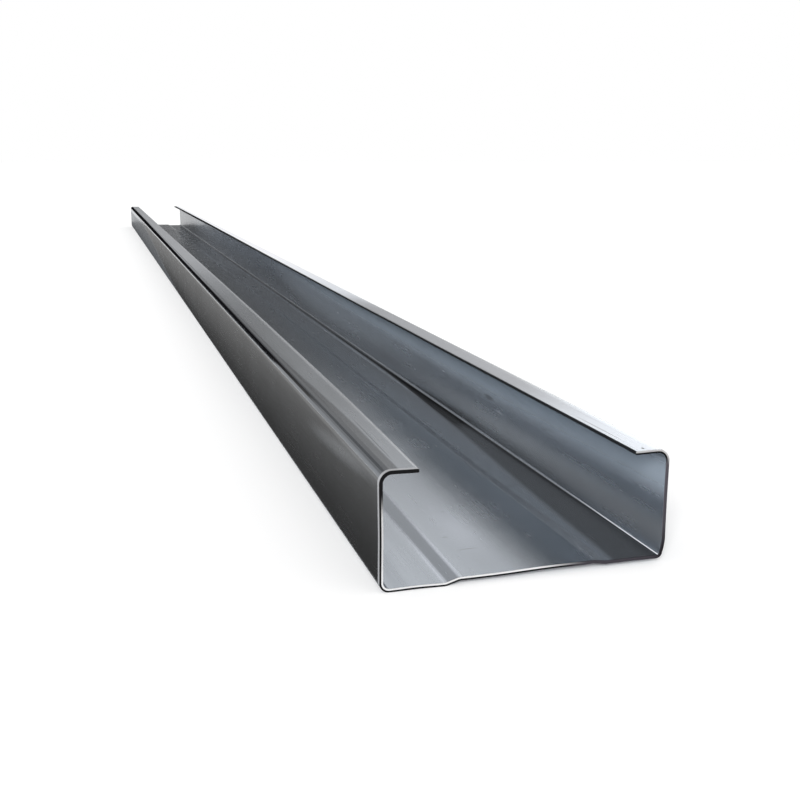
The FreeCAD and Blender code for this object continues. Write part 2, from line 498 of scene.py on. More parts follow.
# %% Group helpers
def new_group(name, inputs, outputs):
    """A node group. Inputs map a name to its kind and value, outputs map a name to its kind."""
    group = bpy.data.node_groups.new(name, "ShaderNodeTree")
    for label, (kind, value) in inputs.items():
        socket = group.interface.new_socket(label, in_out="INPUT", socket_type="NodeSocket" + kind)
        if value is not None:
            socket.default_value = value
    for label, kind in outputs.items():
        group.interface.new_socket(label, in_out="OUTPUT", socket_type="NodeSocket" + kind)
    given = group.nodes.new("NodeGroupInput").outputs
    result = group.nodes.new("NodeGroupOutput").inputs
    return group, given, result


def use(group, feeds):
    """Places a group in the tree of its feeds, and gives its outputs."""
    made = tree_of(*feeds.values()).nodes.new("ShaderNodeGroup")
    made.node_tree = group
    return feed_all(made, feeds).outputs


print("group helpers: new_group, use")

# %% [markdown]
# Zinc comes out of the bath as a thin bright layer, and the skin pass rollers flatten it. That
# leaves streaks as fine as a hair, drawn out along the strip, over soft clouds of thicker and
# thinner zinc. Both are noise: the streaks' coordinates are squeezed across and stretched along.

# %% Group: rolled skin
def make_rolled_skin():
    """Streaks and clouds from the strip's coordinates in metres, each from 0 to 1."""
    group, given, result = new_group(
        "rolled_skin",
        {"Coordinates": ("Vector", None), "Streaks per Metre": ("Float", 260.0),
         "Streak Length": ("Float", 0.25)},
        {"Streak": "Float", "Cloud": "Float"},
    )
    per_metre_along = calc("DIVIDE", 1.0, given["Streak Length"])
    squeeze = add(group, "CombineXYZ", {"X": given["Streaks per Metre"], "Y": per_metre_along}).outputs[0]
    drawn = vector_calc("MULTIPLY", given["Coordinates"], squeeze)
    feed(noise(drawn, 1.0, detail=3.0), result["Streak"])
    feed(noise(given["Coordinates"], 14.0, detail=3.0, roughness=0.55), result["Cloud"])
    return group


rolled_skin = make_rolled_skin()
print("rolled skin:", len(rolled_skin.nodes), "nodes")

# %% [markdown]
# A mark, such as a scuff, a scratch, a patch of bloom or a painted highlight or shade, is a soft
# ellipse at a place on the strip. Its distance is measured after the strip has been moved, turned
# and scaled so that the mark is a circle of radius one. A line is a mark that is very long and very
# narrow.

# %% Group: mark
def make_mark():
    """A soft ellipse: its strength inside it and 0 outside it."""
    group, given, result = new_group(
        "mark",
        {"Coordinates": ("Vector", None), "Across": ("Float", 0.0), "Along": ("Float", 0.0),
         "Half Width": ("Float", 0.01), "Half Length": ("Float", 0.01), "Turn": ("Float", 0.0),
         "Softness": ("Float", 0.5), "Strength": ("Float", 1.0)},
        {"Mask": "Float"},
    )
    place = add(group, "CombineXYZ", {"X": given["Across"], "Y": given["Along"]}).outputs[0]
    moved = vector_calc("SUBTRACT", given["Coordinates"], place)
    turning = {"Vector": moved, "Angle": given["Turn"]}
    turned = add(group, "VectorRotate", turning, rotation_type="Z_AXIS").outputs[0]
    half_size = {"X": given["Half Width"], "Y": given["Half Length"], "Z": 1.0}
    scaled = vector_calc("DIVIDE", turned, add(group, "CombineXYZ", half_size).outputs[0])
    distance = vector_calc("LENGTH", scaled)
    inner_edge = calc("SUBTRACT", 1.0, given["Softness"])
    feed(soft_edge(distance, inner_edge, 1.0, given["Strength"], 0.0), result["Mask"])
    return group


mark = make_mark()
print("mark:", len(mark.nodes), "nodes")

# %% [markdown]
# Bloom and dust lie on the metal as a thin dull film, and the painted light and shade are laid on
# in the same way. The film hides the metal by its share: its colour comes through, the gloss goes,
# and less of the surface is metal.

# %% Group: dull film
def make_dull_film():
    """A film over a metal: its colour, roughness and metal share, mixed in by a mask.

    Cover is how much sooner the colour is hidden than the gloss.
    """
    group, given, result = new_group(
        "dull_film",
        {"Colour": ("Color", (0.5, 0.5, 0.5, 1)), "Roughness": ("Float", 0.3), "Mask": ("Float", 0.0),
         "Film Colour": ("Color", (0.5, 0.5, 0.5, 1)), "Film Roughness": ("Float", 0.6),
         "Cover": ("Float", 1.0)},
        {"Colour": "Color", "Roughness": "Float", "Metallic": "Float"},
    )
    covered = calc("MULTIPLY", given["Mask"], given["Cover"])
    feed(mix_colours(covered, given["Colour"], given["Film Colour"]), result["Colour"])
    feed(mix_values(given["Mask"], given["Roughness"], given["Film Roughness"]), result["Roughness"])
    feed(calc("SUBTRACT", 1.0, given["Mask"]), result["Metallic"])
    return group


dull_film = make_dull_film()
print("dull film:", len(dull_film.nodes), "nodes")

# %% [markdown]
# Whatever lies on the zinc is placed by the strip's own map: how far across the bent strip it is
# from the middle of the web, plus to the right, and how far from the near end. These places are
# worked out once. The commonest shape on them is a band, a rise and then a fall.

# %% Places on the strip
Place = namedtuple("Place", "strip outer inner from_end outside")
BETWEEN_FACES = (0.4, 0.6)


def product(first, *others):
    """All of the values multiplied."""
    for value in others:
        first = calc("MULTIPLY", first, value)
    return first


def strip_coordinates(tree):
    """The strip's UV map: metres across and along."""
    return add(tree, "UVMap", uv_map="strip").outputs["UV"]


def find_place(tree):
    """The strip's map, metres across either face and from the near end, and 1 on the outer face."""
    strip = strip_coordinates(tree)
    across, along, _ = add(tree, "SeparateXYZ", {0: strip}).outputs
    inner = calc("SUBTRACT", across, INNER_START)
    from_end = calc("ADD", along, LENGTH / 2)
    return Place(strip, across, inner, from_end, soft_edge(across, *BETWEEN_FACES, 1.0, 0.0))


def band(value, rise, fall, level=1.0):
    """From 0 to the level over the rise, and back over the fall: one soft edge times another."""
    return product(soft_edge(value, *rise, 0.0, level), soft_edge(value, *fall, 1.0, 0.0))


def distance_from(value, line):
    """How far a value is from a line, to either side."""
    return calc("ABSOLUTE", calc("SUBTRACT", value, line))


print("a place on the strip has", ", ".join(Place._fields))

# %% [markdown]
# Small marks are listed by where they are, in millimetres: across the strip, from the near end,
# half the width and half the length, then the turn in degrees, the softness and the strength.
# Where marks meet, the stronger one shows. The inner face comes first. Its bloom, scratches and
# smudges are from the stack that the purlin lay in, apart from one painted highlight line and two
# painted shade lines among them. The bluish sheen up the right flange and the lighter patch at its
# foot are painted light, and the lines along the left step and in the right bend are painted highlights.

# %% Marks on the inner face
BLOOM = [
    (-20, 88, 20, 75, 0, 1.0, 0.24),
    (-22, 141, 5, 9, 0, 0.7, 0.22),
    (-26, 120, 5, 15, 0, 0.7, 0.22),
    (1.6, 54, 0.9, 1.6, 0, 0.6, 0.14),
    (1.5, 41, 0.9, 2.4, 0, 0.6, 0.14),
]
SCRATCHES_AND_HIGHLIGHT = [
    (22.5, 54.5, 0.5, 7.5, 12, 0.6, 0.20),
    (48.8, 28, 0.6, 14, 12, 0.7, 0.15),
    (131, 305, 1.5, 12, 4, 0.8, 0.20),
    # Painted highlight: the long light line beside the right bend. The lines above it are scratches.
    (87.6, 850, 1.9, 620, 0, 0.9, 0.20),
]
# Smudges, and two painted shade lines: the long thin one at 44.8 mm on the right step's bend, and the last
# one, beside the right bend.
SMUDGES_AND_SHADE_LINES = [
    (-32.3, 73.8, 3.0, 0.9, 0, 0.6, 0.08),
    (-25.2, 47, 11, 0.7, -2, 0.6, 0.06),
    (-16.5, 127, 1.4, 2, 0, 0.6, 0.07),
    (60.3, 182, 14, 1.6, -20, 0.6, 0.09),
    (44.8, 245, 0.8, 62, 3, 0.6, 0.11),
    (139.5, 335, 3.5, 18, 0, 0.8, 0.12),
    (104.5, 1150, 1.6, 550, 0, 0.7, 0.10),
]
# Painted light: a lighter bluish sheen up the inside of the right flange, strongest near its top.
BLUE_FLANGE_SHEEN = [
    (157, 550, 24, 1500, 0, 0.8, 0.36),
    (144, 1000, 44, 650, 0, 0.6, 0.13),
    (158, 220, 22, 500, 0, 1.0, 0.42),
]
# Painted highlights along the foot of the left step.
STEP_HIGHLIGHT = [
    (-56.6, 0, 2.6, 900, 0, 0.6, 0.42),
    (-46.0, 0, 2.0, 900, 0, 0.6, 0.30),
]
# Painted highlight along the inside of the right bend.
CORNER_HIGHLIGHT = [
    (100.5, 0, 1.5, 200, 0, 0.8, 0.95),
    (100.4, 150, 1.5, 1200, 0, 0.7, 0.22),
]
# Painted light: a lighter grey patch low on the right flange's inside.
FOOT_LIGHT = [(116, 180, 17, 560, 0, 0.9, 0.17)]
print(len(BLOOM + SCRATCHES_AND_HIGHLIGHT + SMUDGES_AND_SHADE_LINES), "marks from the stack on the inner face,",
      len(BLUE_FLANGE_SHEEN + STEP_HIGHLIGHT + CORNER_HIGHLIGHT + FOOT_LIGHT), "others")

# %% [markdown]
# The outer face has marks on its lips and bends: scuffs near the cut, with a patch of painted
# shade on the left lip, a painted highlight beside the left bend, thin lines and a patch of painted
# shade on the right lip, and a beige wedge on the left flange that is a painted reflection.

# %% Marks on the outer face
LIP_SCUFFS_AND_SHADE = [
    (-184.8, 85, 0.7, 80, -0.4, 0.6, 0.12),
    # Painted shade: a wide faint patch on the left lip.
    (-189, 210, 12, 210, 0, 1.0, 0.05),
    (187, 6, 1.0, 1.6, 0, 0.5, 0.7),
]
# Painted highlight beside the black line on the left bend.
LIP_HIGHLIGHT = [(-176.6, 2300, 2.2, 2000, 0, 0.6, 0.34)]
RIGHT_LIP_LINES_AND_SHADE = [
    # Painted shade: a broad darker patch on the right lip. The two thin lines after it are marks near its
    # end.
    (187, 480, 30, 470, 0, 0.5, 0.17),
    (190.5, 70, 0.8, 60, 0, 0.7, 0.20),
    (182.5, 130, 0.7, 120, 0, 0.7, 0.12),
]
# A painted reflection: a lighter beige wedge near the top of the left flange's outside.
BEIGE_REFLECTION_WEDGE = [(-161, 110, 10, 150, 4, 0.9, 0.14)]


def strongest(first, *others):
    """The highest of the values at each place."""
    for value in others:
        first = calc("MAXIMUM", first, value)
    return first


def lay_marks(place, marks, start=0.0):
    """The strongest of the marks at each place. Start is where the face's own numbers begin."""
    masks = []
    for across, from_end, half_width, half_length, turn, softness, strength in marks:
        feeds = {"Coordinates": place.strip,
                 "Across": start + across * MM, "Along": from_end * MM - LENGTH / 2,
                 "Half Width": half_width * MM, "Half Length": half_length * MM,
                 "Turn": math.radians(turn), "Softness": softness, "Strength": strength}
        masks.append(use(mark, feeds)["Mask"])
    return strongest(*masks)


print(len(LIP_SCUFFS_AND_SHADE + LIP_HIGHLIGHT + RIGHT_LIP_LINES_AND_SHADE + BEIGE_REFLECTION_WEDGE), "marks on the outer face")

# %% [markdown]
# Someone wiped the web near its end, which left faint arcs. They are rings round a point,
# from the sine of the distance, seen only inside one soft mark.

# %% Wiping arcs
ARC_CENTRE = (38, 62)
ARC_SPACING = 9.5
ARC_START = 3.97
ARC_SHORTENING = (1.0, 0.75, 1.0)
ARC_UNEVENNESS = 6 * MM
WIPED = [(56, 112, 20, 42, 0, 0.7, 1.0)]


def wiping_arcs(place):
    """Rings of light and dark, minus one to one, that fade out away from the wiped place."""
    centre = (INNER_START + ARC_CENTRE[0] * MM, ARC_CENTRE[1] * MM - LENGTH / 2, 0)
    moved = vector_calc("SUBTRACT", place.strip, centre)
    distance = vector_calc("LENGTH", vector_calc("MULTIPLY", moved, ARC_SHORTENING))
    uneven = product(noise(place.strip, 60.0), ARC_UNEVENNESS)
    turns = product(calc("ADD", distance, uneven), 2 * math.pi / (ARC_SPACING * MM))
    rings = calc("SINE", calc("ADD", turns, ARC_START))
    return product(rings, lay_marks(place, WIPED, INNER_START))


print("wiping arcs every", ARC_SPACING, "mm")

# %% [markdown]
# Along the left bend runs a painted black line, a painted reflection of a dark band, with a painted
# highlight beside it. The zinc round the black line is polished smoother.

# %% Painted lines along the left bend
DARK_REFLECTION_LINE = -173.3 * MM
HIGHLIGHT_LINE = -170.9 * MM


def bend_dark_reflection(place):
    """The painted black line, a painted reflection, faint near the near end and wider away from it."""
    half_width = soft_edge(place.from_end, 0.3, 3.4, 0.9 * MM, 4.0 * MM)
    off = calc("DIVIDE", distance_from(place.outer, DARK_REFLECTION_LINE), half_width)
    return product(soft_edge(off, 0.8, 1.2, 0.98, 0.0),
                   soft_edge(place.from_end, 0.16, 0.46, 0.10, 1.0))


def bend_highlight(place):
    """The painted highlight beside it, on the flange's side, faded out at both ends."""
    off = distance_from(place.outer, HIGHLIGHT_LINE)
    return product(soft_edge(off, 0.2 * MM, 1.2 * MM, 0.09, 0.0),
                   band(place.from_end, (0.15, 0.5), (1.4, 2.4)))


def polished_bend(place):
    """The polished zinc, a few millimetres to each side of the painted black line."""
    return soft_edge(distance_from(place.outer, DARK_REFLECTION_LINE), 3.5 * MM, 6 * MM, 1.0, 0.0)


print(f"black line at {DARK_REFLECTION_LINE / MM:.1f} mm, bright line at {HIGHLIGHT_LINE / MM:.1f} mm across")

# %% [markdown]
# Painted shade fills the inside of the right bend, as a wedge at the near end that ends in a point
# and runs on as a line. A dark rim runs along the right lip.

# %% Painted shade in the right bend, and the dark rim
SHADE_EDGE_NEAR, SHADE_EDGE_FAR = 52 * MM, 90.5 * MM


def corner_shade(place):
    """Painted shade: the wedge between its slanting left edge and the bend, and the line that runs on from
    it.
    """
    left_edge = soft_edge(place.from_end, -0.25, 0.75, SHADE_EDGE_NEAR, SHADE_EDGE_FAR)
    right_edge = soft_edge(place.from_end, 0.3, 0.9, 98.5 * MM, 95 * MM)
    line = soft_edge(place.from_end, 0.75, 1.2, 0.85, 0.45)
    return product(soft_edge(calc("SUBTRACT", place.inner, left_edge), -1 * MM, 7 * MM),
                   soft_edge(calc("SUBTRACT", place.inner, right_edge), -1 * MM, 1 * MM, 1.0, 0.0),
                   mix_values(soft_edge(place.from_end, 0.35, 0.65), 0.19, line),
                   soft_edge(place.from_end, 2.0, 3.2, 1.0, 0.0))


def lip_rim(place):
    """The dark rim of the right lip, which grows wider away from the near end."""
    width = soft_edge(place.from_end, 0.5, 3.4, 0.3 * MM, 7.0 * MM)
    from_rim = calc("DIVIDE", calc("SUBTRACT", LIP_END, place.outer), width)
    return product(soft_edge(from_rim, 0.8, 1.2, 0.9, 0.0), place.outside)


def grime_and_painted_shade(place):
    """The strongest at each place of the smudges, scuffs and dark rim, and of the painted shade and dark
    reflection lines.
    """
    return strongest(lay_marks(place, SMUDGES_AND_SHADE_LINES, INNER_START), lay_marks(place, LIP_SCUFFS_AND_SHADE),
                     bend_dark_reflection(place), corner_shade(place), lip_rim(place))


print(f"grime from {SHADE_EDGE_NEAR / MM:.0f} mm across at the near end to {SHADE_EDGE_FAR / MM:.1f} mm")

# %% [markdown]
# Whole stretches of the strip are painted darker than the rest, as painted shade. Each is a band
# across the strip and a fade along it. The levels are low: on bare metal, a thin black film takes
# away more light than its share.

# %% Painted shade on whole stretches
def bend_shades(place):
    """Painted shade inside the right bend, and on the outside of the left one near the near end."""
    foot = band(place.inner, (SIDE_STRIP_END, SIDE_STRIP_END + 2 * MM),
                (CORNER_END - 4.5 * MM, CORNER_END - 3 * MM), 0.14)
    edge = soft_edge(place.from_end, 0.1, 0.45, -183 * MM, -178 * MM)
    outside = product(soft_edge(calc("SUBTRACT", place.outer, edge), -1 * MM, 1 * MM, 0.0, 0.16),
                      soft_edge(place.outer, -176 * MM, -173.5 * MM, 1.0, 0.0),
                      soft_edge(place.from_end, 0.35, 0.9, 1.0, 0.0))
    return strongest(foot, outside)


def web_shades(place):
    """Painted shade on the right step's slope near the near end, and on the web's right half away from it.
    """
    slope = band(place.inner, (STEP_START - 2 * MM, STEP_START + 2 * MM),
                 (STEP_END - 2 * MM, STEP_END + 2 * MM), 0.05)
    half = band(place.inner, (-30 * MM, 10 * MM), (SIDE_STRIP_END - 9 * MM, SIDE_STRIP_END - 6 * MM), 0.14)
    return strongest(product(slope, soft_edge(place.from_end, 0.4, 1.1, 1.0, 0.0)),
                     product(half, soft_edge(place.from_end, 0.2, 0.9),
                             soft_edge(place.from_end, 1.9, 2.8, 1.0, 0.1)))


def flange_shade(place):
    """Painted shade on the inside of the right flange towards the far end."""
    face = band(place.inner, (CORNER_END - 3 * MM, CORNER_END), (FLANGE_END, LIP_START))
    growing = soft_edge(place.from_end, 2.3, 3.1, 0.0, 0.10)
    level = mix_values(soft_edge(place.from_end, 3.05, 3.3), growing, 0.12)
    return product(face, level)


def far_shade(place):
    """Painted shade on the left flange's outside, below an edge that rises towards the far end."""
    edge = soft_edge(place.from_end, 1.4, 3.1, -CORNER_END + 4 * MM, -CORNER_END - 56 * MM)
    return product(soft_edge(calc("SUBTRACT", place.outer, edge), -5 * MM, 5 * MM, 0.0, 0.40),
                   soft_edge(place.outer, -CORNER_END, 0.0, 1.0, 0.0))


def shade(place):
    """The strongest of the painted shade stretches at each place, apart from the far one."""
    return strongest(bend_shades(place), web_shades(place), flange_shade(place))


print("duller stretches on bends, web and flanges")

# %% [markdown]
# The lips are painted lighter than the rest, the right one most, as a painted highlight. A painted
# bright hair line runs along the left lip's edge. Near each cut, the last millimetres of the left
# flange's outside get a painted highlight for their rounded edge.

# %% Painted light on the lips and the rim
def lip_highlights(place):
    """Painted highlight on the lips, more of it away from the near end, and on the left lip's edge."""
    left = product(soft_edge(place.outer, -LIP_START - 1 * MM, -LIP_START + 1 * MM, 1.0, 0.0),
                   soft_edge(place.from_end, 0.5, 1.6, 0.0, 0.40))
    right = product(soft_edge(place.outer, FLANGE_END, LIP_START), place.outside,
                    soft_edge(place.from_end, 0.5, 1.6, 0.25, 0.85))
    edge = soft_edge(place.outer, -LIP_END + 0.4 * MM, -LIP_END + 1.4 * MM, 0.26, 0.0)
    return strongest(left, right, edge)


def painted_rim(place):
    """Painted highlight on the last millimetres at either end of the left flange's outside."""
    from_nearest = calc("SUBTRACT", LENGTH / 2, distance_from(place.from_end, LENGTH / 2))
    return product(soft_edge(from_nearest, 3 * MM, 5 * MM, 0.75, 0.0),
                   soft_edge(place.outer, -CORNER_END, -CORNER_END + 2 * MM, 1.0, 0.0))


def painted_light(place):
    """Painted light and shade: how much lighter the metal is up the right flange's inside and on the right
    lip, and darker on the left lip and at the flange's far end.
    """
    flange = product(soft_edge(place.inner, CORNER_END, FLANGE_END - 12 * MM, 1.35, 1.8),
                     soft_edge(place.inner, FLANGE_END - 4 * MM, LIP_START, 1.0, 0.5),
                     soft_edge(place.from_end, 3.0, 3.5, 1.0, 0.5))
    inside = mix_values(soft_edge(place.inner, CORNER_END - 1 * MM, CORNER_END + 1 * MM), 1.0, flange)
    lips = product(soft_edge(place.outer, FLANGE_END, LIP_START, 1.0, 1.8),
                   soft_edge(place.outer, -LIP_START, -FLANGE_END, 0.68, 1.0))
    return mix_values(place.outside, inside, lips)


print("white zinc on the lips, a burr at each end")

# %% [markdown]
# Now the films are put on in order, the real marks and the painted light and shade alike. The metal
# is seen at such a flat angle that its own colour hardly shows, because any metal is bright there. A
# film shows, because it takes away some of the metal. A dark film also hides the metal's colour
# sooner than its gloss, which its cover says, or it would look like pale dust.

# %% Films on the zinc
# Each film: its colour and its cover
BLOOM_AND_HIGHLIGHT_FILM = ((0.66, 0.69, 0.76, 1), 1)
FLANGE_SHEEN_FILM = ((0.50, 0.68, 0.84, 1), 1)
HIGHLIGHT_FILM = ((0.80, 0.82, 0.88, 1), 1)
DARK_LIP_FILM = ((0.16, 0.155, 0.16, 1), 4)
PAINTED_RIM_FILM = ((0.42, 0.42, 0.43, 1), 1)
WHITE_HIGHLIGHT_FILM = ((0.88, 0.88, 0.90, 1), 1)
BEIGE_REFLECTION_FILM = ((0.50, 0.47, 0.42, 1), 1)
FOOT_LIGHT_FILM = ((0.42, 0.43, 0.43, 1), 1)
# Black films for painted shade, and for smudges and scuffs.
FAR_SHADE_FILM = ((0.003, 0.003, 0.004, 1), 1.5)
SHADE_AND_GRIME_FILM = ((0.003, 0.003, 0.004, 1), 4)


def films(place):
    """The films from the first to the last, each with its mask."""
    def inner_marks(marks):
        return lay_marks(place, marks, INNER_START)

    return [
        (BLOOM_AND_HIGHLIGHT_FILM, inner_marks(BLOOM)),
        (FLANGE_SHEEN_FILM, inner_marks(BLUE_FLANGE_SHEEN)),
        (HIGHLIGHT_FILM, inner_marks(CORNER_HIGHLIGHT)),
        (BLOOM_AND_HIGHLIGHT_FILM, inner_marks(STEP_HIGHLIGHT)),
        (WHITE_HIGHLIGHT_FILM, lip_highlights(place)),
        (DARK_LIP_FILM, lay_marks(place, RIGHT_LIP_LINES_AND_SHADE)),
        (FOOT_LIGHT_FILM, inner_marks(FOOT_LIGHT)),
        (BEIGE_REFLECTION_FILM, lay_marks(place, BEIGE_REFLECTION_WEDGE)),
        (FAR_SHADE_FILM, far_shade(place)),
        (SHADE_AND_GRIME_FILM, shade(place)),
        (BLOOM_AND_HIGHLIGHT_FILM, strongest(bend_highlight(place), inner_marks(SCRATCHES_AND_HIGHLIGHT))),
        (WHITE_HIGHLIGHT_FILM, lay_marks(place, LIP_HIGHLIGHT)),
        (SHADE_AND_GRIME_FILM, grime_and_painted_shade(place)),
        (PAINTED_RIM_FILM, painted_rim(place)),
    ]


print("a black film's cover is", SHADE_AND_GRIME_FILM[1])

# %% [markdown]
# Satin zinc is a plain metal with a middling roughness and a cool grey colour. Clouds, streaks
# and wiping arcs change its tone a little, painted light makes it lighter up the right flange's
# inside and on the right lip and darker on the left lip, and the bend's polish changes its
# roughness. Then the films are laid over it one by one.

# %% Zinc skin
ZINC = (0.425, 0.46, 0.505)
SATIN = 0.26
POLISHED = 0.1
ARC_CONTRAST = 0.045


def new_material(name):
    """A material with its tree and its Principled shader."""
    material = bpy.data.materials.new(name)
    material.use_nodes = True
    return material, material.node_tree, material.node_tree.nodes["Principled BSDF"]


def bare_zinc(place):
    """Colour and roughness of the zinc, with its painted light."""
    skin = use(rolled_skin, {"Coordinates": place.strip})
    tone = calc("ADD", soft_edge(skin["Cloud"], 0.3, 0.7, 0.97, 1.03),
                soft_edge(skin["Streak"], 0.25, 0.75, -0.01, 0.01))
    tone = calc("ADD", tone, product(wiping_arcs(place), ARC_CONTRAST))
    tone = product(tone, painted_light(place))
    colour = add(tree_of(tone), "VectorMath", {0: ZINC, "Scale": tone}, operation="SCALE").outputs[0]
    roughness = calc("ADD", soft_edge(skin["Streak"], 0.2, 0.8, SATIN - 0.015, SATIN + 0.015),
                     soft_edge(skin["Cloud"], 0.3, 0.7, -0.01, 0.01))
    return colour, mix_values(polished_bend(place), roughness, POLISHED)


def make_zinc_skin():
    """The satin zinc of both faces, under its films."""
    material, tree, shader = new_material("zinc_skin")
    place = find_place(tree)
    colour, roughness = bare_zinc(place)
    metallic = 1.0
    for (film_colour, cover), mask in films(place):
        film = use(dull_film, {"Colour": colour, "Roughness": roughness, "Mask": mask, "Cover": cover,
                               "Film Colour": film_colour, "Film Roughness": SATIN})
        colour, roughness = film["Colour"], film["Roughness"]
        metallic = product(metallic, film["Metallic"])
    feed_all(shader, {"Base Color": colour, "Roughness": roughness, "Metallic": metallic,
                      "Specular IOR Level": 0.0})
    return material


zinc = make_zinc_skin()
print("zinc skin:", len(zinc.node_tree.nodes), "nodes")

# %% [markdown]
# A shear burnishes the first part of the cut and tears the rest. On the left half of the web and
# on the left flange the inner part of the cut is painted bright, partly a burnished band and partly
# a painted highlight, and the outer part black, partly torn steel and partly painted shade. On the
# right half the torn part is dull, and so are the lips' ends, but the outer half of the right lip's
# end is painted bright as a highlight. The rounded outer edge catches the light all round.

# %% Sheared end
TORN_BLACK = (0.010, 0.010, 0.011, 1)
TORN_DULL = (0.060, 0.055, 0.066, 1)
TORN_PALE = (0.18, 0.17, 0.20, 1)
BURNISH_AND_HIGHLIGHT = (0.90, 0.90, 0.91, 1)


def make_sheared_end():
    """The cut across the strip, by place across it and by depth from the outer face."""
    material, tree, shader = new_material("sheared_end")
    across, depth, _ = add(tree, "SeparateXYZ", {0: strip_coordinates(tree)}).outputs
    bright_band = product(
        soft_edge(depth, 0.46, 0.58),
        band(across, (-FLANGE_END + 6 * MM, -FLANGE_END + 24 * MM), (STEP_START - 42 * MM, STEP_START)),
        soft_edge(across, -CORNER_END - 20 * MM, -CORNER_END, 0.8, 1.0))
    right_web = soft_edge(across, STEP_START - 20 * MM, STEP_START - 6 * MM)
    right_flange = soft_edge(across, CORNER_END, CORNER_END + 25 * MM)
    right_lip = soft_edge(across, FLANGE_END - 4 * MM, FLANGE_END + 4 * MM)
    outer_highlight = product(soft_edge(depth, 0.45, 0.55, 1.0, 0.0), right_lip)
    # The bright bands are painted highlights, and the black is partly painted shade.
    colour = TORN_BLACK
    for share, laid_over in ((right_web, TORN_DULL), (right_flange, TORN_PALE), (right_lip, TORN_BLACK),
                             (bright_band, BURNISH_AND_HIGHLIGHT), (outer_highlight, BURNISH_AND_HIGHLIGHT)):
        colour = mix_colours(share, colour, laid_over)
    feed_all(shader, {"Base Color": colour, "Metallic": 0.9, "Roughness": 0.4})
    return material


cut = make_sheared_end()
print("sheared end:", len(cut.node_tree.nodes), "nodes")

# %% [markdown]
# The slit edge has lain in the coil store, so it is dull and nearly black.

# %% Slit edge
SLIT_DARK = (0.045, 0.047, 0.052, 1)
SLIT_DULL = (0.10, 0.104, 0.112, 1)


def make_slit_edge():
    """The strip's long edges: dark steel, duller in patches."""
    material, tree, shader = new_material("slit_edge")
    skin = use(rolled_skin, {"Coordinates": strip_coordinates(tree)})
    feed_all(shader, {"Base Color": mix_colours(skin["Cloud"], SLIT_DARK, SLIT_DULL),
                      "Roughness": soft_edge(skin["Cloud"], 0.2, 0.8, 0.4, 0.55), "Metallic": 1.0})
    return material


slit = make_slit_edge()
for finish in (zinc, cut, slit):
    purlin.data.materials.append(finish)
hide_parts("c_purlin")
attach(purlin, "root")
print("purlin finished in", [finish.name for finish in purlin.data.materials])

# %% [markdown]
# The floor is plain pale paper, so large that its edge is out of sight. The world is white where
# the camera or a reflection sees it, and gives a weaker soft light to everything else.

# %% Floor and world
PAPER = 0.96
FLOOR_SIZE = 200
AMBIENT = 0.66


def stage_sheet(name, corners):
    """A flat sheet of the studio between four corners, and its own material's tree and shader."""
    mesh = bpy.data.meshes.new(name)
    mesh.from_pydata(corners, [], [(0, 1, 2, 3)])
    sheet = add_object(name, mesh)
    material, tree, shader = new_material(name)
    shader.inputs["Specular IOR Level"].default_value = 0.0
    mesh.materials.append(material)
    return sheet, tree, shader


def make_floor():
    """A square of matt paper with no gloss."""
    corners = [(x * FLOOR_SIZE / 2, y * FLOOR_SIZE / 2, 0) for x, y in ((-1, -1), (1, -1), (1, 1), (-1, 1))]
    _, _, shader = stage_sheet("floor", corners)
    feed_all(shader, {"Base Color": (PAPER, PAPER, PAPER, 1), "Roughness": 1.0})


def make_world():
    """White for camera, glossy and transmission rays, and the ambient light for the rest."""
    world = bpy.data.worlds.new("studio")
    bpy.context.scene.world = world
    world.use_nodes = True
    rays = add(world.node_tree, "LightPath").outputs
    seen = strongest(rays["Is Camera Ray"], rays["Is Glossy Ray"], rays["Is Transmission Ray"])
    feed_all(world.node_tree.nodes["Background"],
             {"Color": (1, 1, 1, 1), "Strength": soft_edge(seen, 0, 1, AMBIENT, 1.0)})


make_floor()
make_world()
print("floor", FLOOR_SIZE, "m wide, ambient light", AMBIENT)

# %% [markdown]
# Metal shows what stands round it, so a photographer gives it shape with bright cards for sheen
# and black ones, called flags, for lines. Only reflections see the cards here. Two narrow flags
# come first: the left bend mirrors one as a black line, and the other moves the edge of the right
# lip's reflection in the web.

# %% Flags
BEND_FLAG = ((-0.145, 0.081), (-0.145, 0.110))
LIP_FLAG = ((0.0748, 0.081), (0.0748, 0.095))


def make_card(name, start, end, reach, tint=(1, 1, 1)):
    """A flat card between two long edges, and its tree and shader. Only reflections see it."""
    corners = [(start[0], reach[0], start[1]), (end[0], reach[0], end[1]),
               (end[0], reach[1], end[1]), (start[0], reach[1], start[1])]
    card, tree, shader = stage_sheet(name, corners)
    feed_all(shader, {"Base Color": (0, 0, 0, 1), "Emission Color": (*tint, 1)})
    card.visible_camera = card.visible_diffuse = card.visible_shadow = False
    card.visible_transmission = card.visible_volume_scatter = False
    return tree, shader


make_card("bend_flag", *BEND_FLAG, (-LENGTH / 2 + 0.6, LENGTH / 2 + 4))
make_card("lip_flag", *LIP_FLAG, (-LENGTH / 2, LENGTH / 2))
print("flags at", BEND_FLAG[0][0], "m and", LIP_FLAG[0][0], "m across")

# %% [markdown]
# The other cards stand as a tunnel parallel to the purlin. Each has one glow beside the purlin's
# middle and another far from it, and fades from one to the other.

# %% Cards and soft boxes
SKY = 1.0
WALL = 1.8
FAR = 22.0
FADE_START = 0.3

